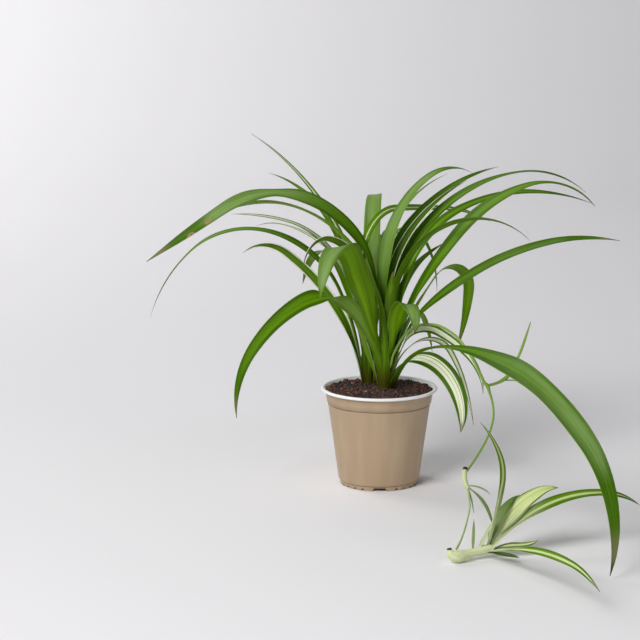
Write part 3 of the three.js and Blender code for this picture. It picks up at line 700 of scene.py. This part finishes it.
def blade_piece(
    name, foot, way, leans, width, turns, tone, nodes, slot, root=None, material=LEAF, centre=-1, margin=2,
    tip=0, pale=0, full=FULL_AT, waist=None, late=0, end_turn=0, haze=SLIGHT_SHEEN, scars=(),
):
    """A leaf as a piece. way is its heading, its swing and its length, width its full width
    and its taper, and turns its turn and its foot's turn. root is where its sheath starts in
    the soil, and the sheath runs from there to the foot on a smooth curve."""
    length = way[2]
    s = np.linspace(0, 1, RINGS)
    point, along, up = blade_line(foot, way, leans, s)
    roll = np.radians(blade_roll(s, *turns, late, end_turn))[:, None]
    side = np.cross(up, along)
    side, up = side * np.cos(roll) + up * np.sin(roll), up * np.cos(roll) - side * np.sin(roll)
    half = blade_width(s, *width, full, waist) / 2
    fold = np.radians(blade_fold(s, leans, length))
    distance = s * length
    if root is not None:
        curve, t, reach = sheath_curve(np.array(root, dtype=float), point[0], along[0])
        point = np.concatenate([curve, point])
        side = np.concatenate([np.repeat(side[:1], len(t), 0), side])
        up = np.concatenate([np.repeat(up[:1], len(t), 0), up])
        swell = 1 + SHEATH_WIDER * (1 - t) + SHEATH_BELLY * np.sin(math.pi * t)
        half = np.concatenate([half[0] * swell, half])
        fold = np.concatenate([fold[0] + np.radians(SHEATH_FOLD) * (1 - ease(t)), fold])
        distance = np.concatenate([(t - 1) * reach, distance])
        s = np.concatenate([(t - 1) * reach / length, s])
    seed = sum(ord(letter) * (index + 3) for index, letter in enumerate(name)) % 97
    wave = WAVE_SHARE * half * np.sin(distance / WAVE_STEP + seed)
    bow = RIB_BOW + FOOT_BOW * (1 - ease(distance / FOOT_BOW_REACH))
    rings, u, under = blade_rings(point, side, up, half, fold, wave, bow)
    # Painted shade near the soil, on the sheath and the lowest part of the blade.
    soil_shaded = near_soil(point[:, 2]) * (1 - ease(distance / SOIL_SHADE_LENGTH)) * (root is not None)
    # The tone is lowered towards the foot by FOOT_SHADE, as painted shade deep in the crown.
    along_blade = dict(
        tone=tone - FOOT_SHADE * (1 - ease(distance / FOOT_SHADE_REACH)), tip=s + tip,
        pale=pale * (1 - ease(distance / PALE_REACH)), low=soil_shaded, haze=haze_share(haze, s),
    )
    values = {key: np.repeat(numbers, len(u)) for key, numbers in along_blade.items()}
    values.update(centre=centre, margin=margin, seed=seed, under=np.tile(under, len(s)))
    values.update(worn=scar_depth(scars, s, u, length, half))
    uv = np.stack([np.tile((u + 1) / 2, len(s)), np.repeat(s, len(u))], -1)
    faces = closed_grid(len(s), len(u))
    return new_piece(name, rings.reshape(-1, 3), faces, material, nodes, uv, values)


def leaf_foot(crown, rise, azimuth, ring):
    """Where a leaf starts, at a height over the soil and a side of its crown, and where its
    sheath is rooted. It lies against the crown's side where ring is 0, and otherwise at that
    distance from the crown's middle."""
    side_radius = crown["radius"] - crown["taper"] * min(max(rise, 0), crown["top"])
    reach = ring or side_radius + FOOT_GAP
    angle = math.radians(azimuth)
    across = np.array([math.cos(angle), math.sin(angle)])
    centre = np.array([crown["x"], crown["y"]])
    foot = [*(centre + reach * across), SOIL_HEIGHT + rise]
    root = [*(centre + min(reach, crown["radius"] - ROOT_INSET) * across), SOIL_HEIGHT - ROOT_DEPTH]
    return foot, root


FRONT = CROWNS["front"]
BACK = CROWNS["back"]
# A row has the name and the crown, the foot's height over the soil, side of the crown and
# distance from its middle, then heading, swing and length, the leans from upright at the five
# stations, width and taper, the turn and the foot's turn, and how light the green is.
LEAVES = [
    ("arching_left", FRONT, (36, 183, 0), (198, -9, 378), (-8, 19, 64, 123, 123), (20, 5), (-46, -18), 0.08),
    ("twisted_left", FRONT, (37, 260, 0), (193, -34, 310), (0, 21, 53, 97, 136), (17, 4), (20, 67), 0.12),
    ("drooping_left", BACK, (10, 173, 0), (173, -12, 372), (8, 24, 75, 130, 163), (11, 4), (-18, -1), 0.3),
    ("folded_front", FRONT, (40.4, 223, 7.2), (238, 16, 241), (33, 28, 38, 104, 166), (26, 5), (46, 72), 0.4),
    ("low_left", FRONT, (22, 234, 0), (212, 4, 287), (14, 41, 111, 140, 188), (19, 3), (-67, 52), 0.25),
    ("curled_front", FRONT, (38, 312, 0), (295, -5, 115), (22, 12, 48, 116, 212), (18, 5), (-32, 17), 0.5),
    ("short_centre", FRONT, (40.4, 306, 4.7), (275, 3, 94), (1, 7, 17, 30, 28), (12, 4), (-8, -19), 0.4),
    ("long_right", FRONT, (22, 345, 0), (348, 5, 290), (11, 44, 59, 76, 100), (10, 4), (88, -8), -0.08),
    ("hooked_right", FRONT, (3, 54, 0), (20, 20, 247), (8, 27, 40, 186, 202), (15, 5), (-30, 34), 0.6),
    ("broad_right", FRONT, (23, 35, 0), (-5, 2, 320), (11, 27, 39, 69, 143), (17, 3), (51, 32), 0.2),
    ("thin_right", FRONT, (34, 4, 0), (24, 4, 350), (5, 17, 68, 93, 112), (12, 2.5), (35, -25), 0.22),
    ("high_right", FRONT, (40.4, 93, 7.2), (29, -3, 357), (-5, 28, 59, 87, 129), (12, 2), (50, 18), 0.2),
    ("dark_right", FRONT, (40.4, 19, 6.2), (343, 5, 245), (2, 8, 45, 86, 135), (14, 3), (-27, 29), -0.15),
    ("rear_right", FRONT, (40.4, 76, 6.9), (50, -1, 149), (14, 20, 42, 67, 77), (10, 3), (21, -13), 0.3),
    ("upright_pale", FRONT, (40.4, 7, 1.6), (39, -3, 267), (-1, -6, 27, 64, 124), (17, 2.2), (18, 31), 0.42),
    ("blunt_back", BACK, (34.4, 77, 5.2), (86, 0, 285), (7, 13, 41, 110, 150), (18, 5), (-4, -21), 0.45),
    ("upright_slim", FRONT, (40.4, 112, 7.2), (49, -10, 281), (-3, 11, 53, 70, 85), (11, 3), (30, 14), 0.25),
    ("upright_dark", FRONT, (40.4, 29, 2.8), (35, -2, 216), (1, -1, 33, 54, 69), (10, 3), (36, 33), -0.15),
    ("curled_left", FRONT, (40.4, 215, 7.2), (237, -18, 208), (37, 9, 33, 74, 182), (10, 4), (64, 72), 0.1),
    ("pointing_left", BACK, (34.4, 82, 0.9), (158, 0, 272), (-2, 17, 31, 45, 61), (10, 2), (-31, -12), 0.35),
    ("slim_left", BACK, (34.4, 219, 6.8), (129, 1, 261), (-5, 24, 38, 67, 85), (9, 3), (-16, -34), 0.35),
    ("upright_rear", FRONT, (40.4, 136, 6.1), (39, 4, 224), (4, -1, 19, 56, 80), (13, 2.5), (-21, 20), 0.45),
    ("edged_left", BACK, (1, 164, 0), (163, -5, 217), (11, 22, 42, 55, 132), (15, 4), (-31, 1), 0.3),
    ("striped_left", BACK, (21, 174, 0), (166, 4, 242), (0, 14, 34, 76, 92), (12, 4), (-12, 0), 0.5),
    ("cream_left", BACK, (34.4, 144, 2.3), (132, 0, 246), (-3, 29, 65, 80, 108), (11, 3), (13, 15), 0.55),
    ("level_rear", BACK, (34.4, -16, 5), (46, 8, 366), (-14, -9, 94, 98, 113), (8, 4), (62, 12), 0.5),
    ("dangling_rear", BACK, (3, -7, 0), (40, 4, 275), (6, -2, 17, 138, 180), (7, 4), (-7, -47), 0.3),
    ("cream_right", FRONT, (4, 318, 0), (318, 0, 157), (7, 64, 115, 155, 195), (20, 5), (42, 0), 0.08),
    ("sweeping_front", FRONT, (1, 300, 0), (295, 8, 509), (38, 81, 97, 126, 199), (27, 4), (23, 5), -0.04),
    ("striped_right", FRONT, (13, 314, 0), (334, -6, 169), (16, 26, 111, 132, 179), (11, 3), (52, -10), 0.25),
    ("narrow_right", FRONT, (14, 8, 0), (11, 3, 170), (7, 62, 150, 163, 171), (7, 3), (-66, -5), 0.35),
    ("edge_front", FRONT, (2, 206, 0), (196, 0, 103), (15, 19, 17, 27, 63), (8, 3), (43, 10), 0.4),
    ("rear_arching", BACK, (6, 82, 0), (79, 3, 326), (24, 33, 68, 104, 138), (18, 4), (6, -12), 0.35),
    ("rear_broad", BACK, (12, 108, 0), (112, -6, 290), (11, 36, 74, 112, 143), (20, 4), (-7, -8), 0.35),
    ("rear_low", BACK, (1, 42, 0), (62, 10, 235), (20, 52, 92, 128, 154), (14, 3), (14, 0), 0.4),
    ("rear_slim", FRONT, (5, 100, 0), (92, 0, 260), (7, 23, 50, 86, 120), (11, 3), (11, 0), 0.45),
]
# What sets some leaves apart: where a cream band ends (centre) or a pale margin starts
# (margin), how early the tip is dry (tip), the share where the width is full (full), a slim
# stretch (waist), a turn that is held back (late) or that comes near the end (end_turn), and
# a painted sheen or scars of its own.
OWN_MARKS = {
    "arching_left": dict(
        waist=(0.605, 0.06, 0.5), haze=(0.38, 0.78, 1), scars=((0.805, 0.3, 6), (0.862, 0.85, 7)),
    ),
    "twisted_left": dict(tip=0.03, haze=(0.35, 0.78, 0.8)),
    "folded_front": dict(tip=-0.06, end_turn=-50, haze=(0.52, 0.93, 1)),
    "low_left": dict(late=0.25, haze=(0, 0.34, 0.65)),
    "curled_front": dict(end_turn=50, haze=(0.48, 0.9, 1)),
    "broad_right": dict(tip=0.02, waist=(0.85, 0.12, 0.65)),
    "thin_right": dict(full=0.3),
    "high_right": dict(full=0.3, waist=(0.73, 0.14, 0.55), haze=(0.3, 0.78, 0.5)),
    "dark_right": dict(tip=0.02),
    "upright_pale": dict(haze=(0.15, 0.78, 0.9)),
    "blunt_back": dict(haze=(0.05, 0.78, 1)),
    "upright_dark": dict(margin=0.75),
    "curled_left": dict(margin=0.8),
    "pointing_left": dict(full=0.3, centre=0.25),
    "edged_left": dict(margin=0.68),
    "striped_left": dict(centre=0.55),
    "cream_left": dict(centre=0.6),
    "level_rear": dict(centre=0.15),
    "cream_right": dict(full=0.45, centre=0.52),
    "sweeping_front": dict(full=0.5, tip=0.01, waist=(0.26, 0.13, 0.55), haze=(0.34, 0.78, 0.75)),
    "striped_right": dict(centre=0.48),
    "narrow_right": dict(centre=0.5),
    "edge_front": dict(margin=0.93),
    "rear_arching": dict(centre=0.45),
}

for name, crown, place, way, leans, width, turns, tone in LEAVES:
    foot, root = leaf_foot(crown, *place)
    marks = OWN_MARKS.get(name, {})
    slot = "leaf_striped" if "centre" in marks or "margin" in marks else "leaf"
    blade_piece(
        "blade_" + name, foot, way, leans, width, turns, tone, ["leaf_" + name], slot, root=root, **marks
    )

# Runner: a thin living stem that arches out of the front crown, over the rim and down, with a
# side branch, and lower down a small plantlet on a short thick stem. It grows from the crown
# and carries the young plant at its end.
# each stem is a list of points with a place and a radius
RUNNER_LINES = [
    [
        (10, 9, 112, 1.3), (12.6, 5.2, 124, 1.4), (15.6, 3, 136, 1.4), (26, -4, 156, 1.4),
        (38, -14, 167, 1.4), (49, -26, 171, 1.3), (61, -38, 171, 1.3), (75, -52, 164, 1.3),
        (84, -62, 154, 1.3), (93, -74, 141, 1.3), (101, -88, 125, 1.5), (104, -92, 122, 2),
        (106, -98, 116, 1.4), (108, -108, 108, 1.2), (108, -122, 97, 1.1), (102, -142, 84, 1.1),
        (91, -166, 72, 1.1), (79, -190, 62, 1.1), (76.5, -193, 60, 1.1),
    ],
    [
        (104, -92, 122, 1.4), (114, -91, 124.5, 1.5), (122, -90, 129, 2), (127, -88, 135, 1.5),
        (136, -84, 152, 1.3), (141, -81, 165, 1.3), (147, -78, 183, 0.5),
    ],
    [(76.5, -190, 64, 2.2), (75.5, -195, 58, 2.4), (76, -202, 52, 2.4), (79, -206, 47, 1.9)],
    [
        (78, -205, 48, 1), (78.5, -220, 42, 0.9), (78, -232, 35, 0.8), (73, -250, 23, 0.8),
        (68, -266, 15.5, 0.9), (63, -283, 12.3, 1.1),
    ],
]
# foot, heading with swing and length, leans, width, turn
RUNNER_LEAFLETS = [
    ((117, -91, 126), (2, 0, 20), (74, 84, 92, 100, 104), 5, 0),
    ((78, -204, 50), (350, 0, 24), (84, 96, 108, 124, 136), 4, 0),
    ((78, -206, 49), (335, 0, 46), (118, 128, 146, 160, 166), 5, 20),
    ((78, -206, 48), (320, 0, 24), (150, 158, 164, 168, 170), 2.4, 0),
]
LEAFLET_TAPER = 4
LEAFLET_TONE = 0.5
LEAFLET_TIP = 0.06
LEAFLET_PALE = 0.35
STEM_SIDES = 14
STEM_STEPS = 6
STEM_TONE = 0.9
STEM_PATTERN = 0.3
DEAD_TIP_VALUE = 1.1
STEM_PALE = (0.15, 0.1, 0.75, 0.35)
STEM_CUT = (0, 0, 0.14, 0)
LEVEL_WAY = (0.857, 0.514, 0.0)
YOUNG = leaf_material("young_blade", (0.78, 0.87, 0.4, 1), (0.46, 0.62, 0.06, 1))


def smooth_path(knots, steps):
    """Points along a smooth curve through knots, by the Catmull-Rom blend of four knots."""
    knots = np.asarray(knots, dtype=float)
    padded = np.concatenate([2 * knots[:1] - knots[1:2], knots, 2 * knots[-1:] - knots[-2:-1]])
    t = np.linspace(0, 1, steps, endpoint=False)[None, :, None]
    a, b, c, d = (padded[k : len(padded) - 3 + k, None] for k in range(4))
    square, cube = 2 * a - 5 * b + 4 * c - d, 3 * b - a - 3 * c + d
    curve = 0.5 * (2 * b + (c - a) * t + square * t**2 + cube * t**3)
    return np.concatenate([curve.reshape(-1, knots.shape[1]), knots[-1:]])


def tube_rings(path, around):
    """Circles of the path's fourth number as radius, square to the path. They are set out
    from one level direction, which no stem runs quite along."""
    centre, radius = path[:, :3], path[:, 3]
    along = np.gradient(centre, axis=0)
    along /= np.linalg.norm(along, axis=1, keepdims=True)
    side = np.cross(along, LEVEL_WAY)
    side /= np.linalg.norm(side, axis=1, keepdims=True)
    up = np.cross(along, side)
    angle = (np.arange(around) * (2 * math.pi / around))[None, :, None]
    ring = side[:, None] * np.cos(angle) + up[:, None] * np.sin(angle)
    return centre[:, None] + ring * radius[:, None, None]


def stem_piece(name, knots, nodes, pale, cut, around=STEM_SIDES):
    """A round stem through knots, each a point and a radius, in the leaf material. cut is
    the share of its start that is dark and dry."""
    rings = tube_rings(smooth_path(knots, STEM_STEPS), around)
    count = len(rings)
    share = np.tile(np.abs(np.linspace(-1, 1, around)), count)
    down = np.repeat(np.linspace(0, 1, count), around)
    values = PLAIN_BLADE | dict(tone=STEM_TONE, seed=3, pale=pale, tip=DEAD_TIP_VALUE * (down < cut))
    uv = np.stack([share * STEM_PATTERN, down], -1)
    return new_piece(name, rings.reshape(-1, 3), closed_grid(count, around), YOUNG, nodes, uv, values)


for number, (knots, pale, cut) in enumerate(zip(RUNNER_LINES, STEM_PALE, STEM_CUT)):
    nodes = ["runner"] if number == 0 else []
    stem_piece(f"runner_stem_{number + 1}", knots, nodes, pale, cut)
for number, (foot, way, leans, width, turn) in enumerate(RUNNER_LEAFLETS):
    blade_piece(
        f"runner_leaflet_{number + 1}", foot, way, leans, (width, LEAFLET_TAPER), (turn, 0),
        LEAFLET_TONE, [], "runner", material=YOUNG, tip=LEAFLET_TIP, pale=LEAFLET_PALE,
    )

# Young plant: a living tuft of leaves, grown at the runner's end, which lies on the surface.
# Its short stem swells to a pale root bulge with a dark cut end, and bears the leaves
# towards its other end.
YOUNG_STEM = [
    (56, -288, 14, 2.1), (56.4, -288, 11.6, 3.1), (58, -288, 8.6, 4.6), (62, -287, 6.4, 5.7),
    (67, -284.5, 6, 5.6), (73, -281, 6.6, 4.4), (80, -277.5, 7.4, 3.9), (87, -274, 8, 4.6),
    (94, -271, 9, 4.2), (99, -269, 10, 2),
]
YOUNG_STEM_SIDES = 24
YOUNG_STEM_PALE = 0.95
YOUNG_STEM_CUT = 0.05
# foot, heading with swing and length, leans, width, turn, tone, cream band, pale foot
YOUNG_LEAVES = [
    ((91, -271, 9.5), (140, 8, 127), (-14, -14, -13, 27, 49), 13, 7, 0.7, 0.35, 1.0),
    ((94, -268, 9.5), (30, 0, 94), (38, 44, 53, 70, 105), 20, 20, 0.4, 0.8, 0.7),
    ((93, -271, 9.5), (48, 0, 66), (21, 27, 46, 69, 87), 10, 5, 0, -1, 0.2),
    ((95, -273.5, 8.5), (22, 2, 174), (44, 61, 81, 98, 129), 13, 30, 0.45, 0.25, 1.0),
    ((92, -275, 7.5), (296, 0, 189), (75, 73, 82, 91, 118), 10, 30, 0.45, 0.3, 1.0),
    ((95, -271, 6.5), (8, 0, 46), (63, 80, 92, 83, 64), 10, 20, 0.15, 0.3, 0.2),
    ((93, -274.5, 6), (322, 0, 33), (84, 86, 88, 90, 90), 8, 10, 0, -1, 0.1),
    ((78, -278, 8), (70, 0, 30), (10, 8, 6, 2, 0), 3.4, 0, 0.1, -1, 0.3),
    ((84, -275, 8), (20, 0, 32), (24, 26, 28, 30, 30), 7, 0, 0.4, -1, 0.7),
]
stem_piece(
    "young_stem", YOUNG_STEM, ["young_plant"], YOUNG_STEM_PALE, YOUNG_STEM_CUT, YOUNG_STEM_SIDES,
)
for number, (foot, way, leans, width, turn, tone, centre, pale) in enumerate(YOUNG_LEAVES):
    blade_piece(
        f"young_blade_{number + 1}", foot, way, leans, (width, LEAFLET_TAPER), (turn, 0), tone,
        [], "young", material=YOUNG, centre=centre, pale=pale,
    )

# Stage: a sheet of pale paper that lies as the floor and bends up behind as a backdrop, with
# a large soft lamp at the upper left, a weak one at the right, one for the backdrop, and a
# camera a little above the plant. These lengths are in metres.
SWEEP_HALF_WIDTH = 9.0
SWEEP_FRONT = -6.0
SWEEP_BACK = 2.4
SWEEP_BEND = 1.6
SWEEP_TOP = 8.0
SWEEP_STEPS = 24
PAPER_TINTS = ((0.8, 0.79, 0.81, 1), (0.82, 0.81, 0.83, 1))
SURROUND_COLOUR = (0.98, 0.985, 1, 1)
SURROUND_STRENGTH = 0.12
CAMERA_PLACE = (-0.061, -2.142, 0.570)
CAMERA_TILT = 79.44
CAMERA_LENS = 119.6
CAMERA_SENSOR = 36


def stage_sweep():
    """A strip that runs along the floor and bends up through a quarter circle behind."""
    bend = np.linspace(0, math.pi / 2, SWEEP_STEPS)[1:]
    floor = np.array([[SWEEP_FRONT, 0.0], [0.0, 0.0], [SWEEP_BACK, 0.0]])
    curve = np.stack([SWEEP_BACK + SWEEP_BEND * np.sin(bend), SWEEP_BEND * (1 - np.cos(bend))], -1)
    line = np.concatenate([floor, curve, [[SWEEP_BACK + SWEEP_BEND, SWEEP_TOP]]])
    sides = np.tile([-SWEEP_HALF_WIDTH, SWEEP_HALF_WIDTH], len(line))
    points = np.column_stack([sides, np.repeat(line, 2, 0)])
    faces = 2 * np.arange(len(line) - 1)[:, None] + np.array([0, 1, 3, 2])
    mesh = bpy.data.meshes.new("studio_sweep")
    mesh.from_pydata(points.tolist(), [], faces.tolist())
    mesh.polygons.foreach_set("use_smooth", [True] * len(mesh.polygons))
    material, nodes, shader, _ = new_material("studio_paper")
    paper = nodes.mix(nodes.noise(nodes.place(), 0.6), *PAPER_TINTS)
    nodes.fill(shader, {"Base Color": paper, "Roughness": 0.9})
    mesh.materials.append(material)
    sweep = bpy.data.objects.new("studio_sweep", mesh)
    bpy.context.scene.collection.objects.link(sweep)


def lamp(name, place, aim, size, power, colour):
    """A square soft lamp at place that faces aim. Its tilt and turn come from the direction
    between them, by the arc tangent of its rise over its flat length, and of its two flat
    parts."""
    light = bpy.data.lights.new(name, "AREA")
    light.size = size
    light.energy = power
    light.color = colour
    holder = bpy.data.objects.new(name, light)
    way = np.array(aim, dtype=float) - np.array(place, dtype=float)
    flat = math.hypot(way[0], way[1])
    holder.rotation_euler = (math.pi / 2 + math.atan2(way[2], flat), 0, math.atan2(-way[0], way[1]))
    holder.location = place
    bpy.context.scene.collection.objects.link(holder)


stage_sweep()
lamp("key_lamp", (-1.4, -1.95, 1.9), (0, 0, 0.15), 1.5, 78, (1, 0.995, 0.98))
lamp("fill_lamp", (2.3, -2.3, 0.75), (0, 0, 0.1), 1.4, 16, (0.98, 0.99, 1))
lamp("back_lamp", (-2.5, 1.9, 2.4), (-0.15, 3.8, 0.5), 2.4, 89, (1, 1, 1))

world = bpy.data.worlds.new("studio_surround")
world.use_nodes = True
surround = world.node_tree.nodes["Background"]
surround.inputs["Color"].default_value = SURROUND_COLOUR
surround.inputs["Strength"].default_value = SURROUND_STRENGTH
bpy.context.scene.world = world
bpy.context.scene.view_settings.view_transform = "Standard"

camera = bpy.data.cameras.new("camera")
camera.lens = CAMERA_LENS
camera.sensor_width = CAMERA_SENSOR
eye = bpy.data.objects.new("camera", camera)
eye.location = CAMERA_PLACE
eye.rotation_euler = (math.radians(CAMERA_TILT), 0, 0)
bpy.context.scene.collection.objects.link(eye)
bpy.context.scene.camera = eye
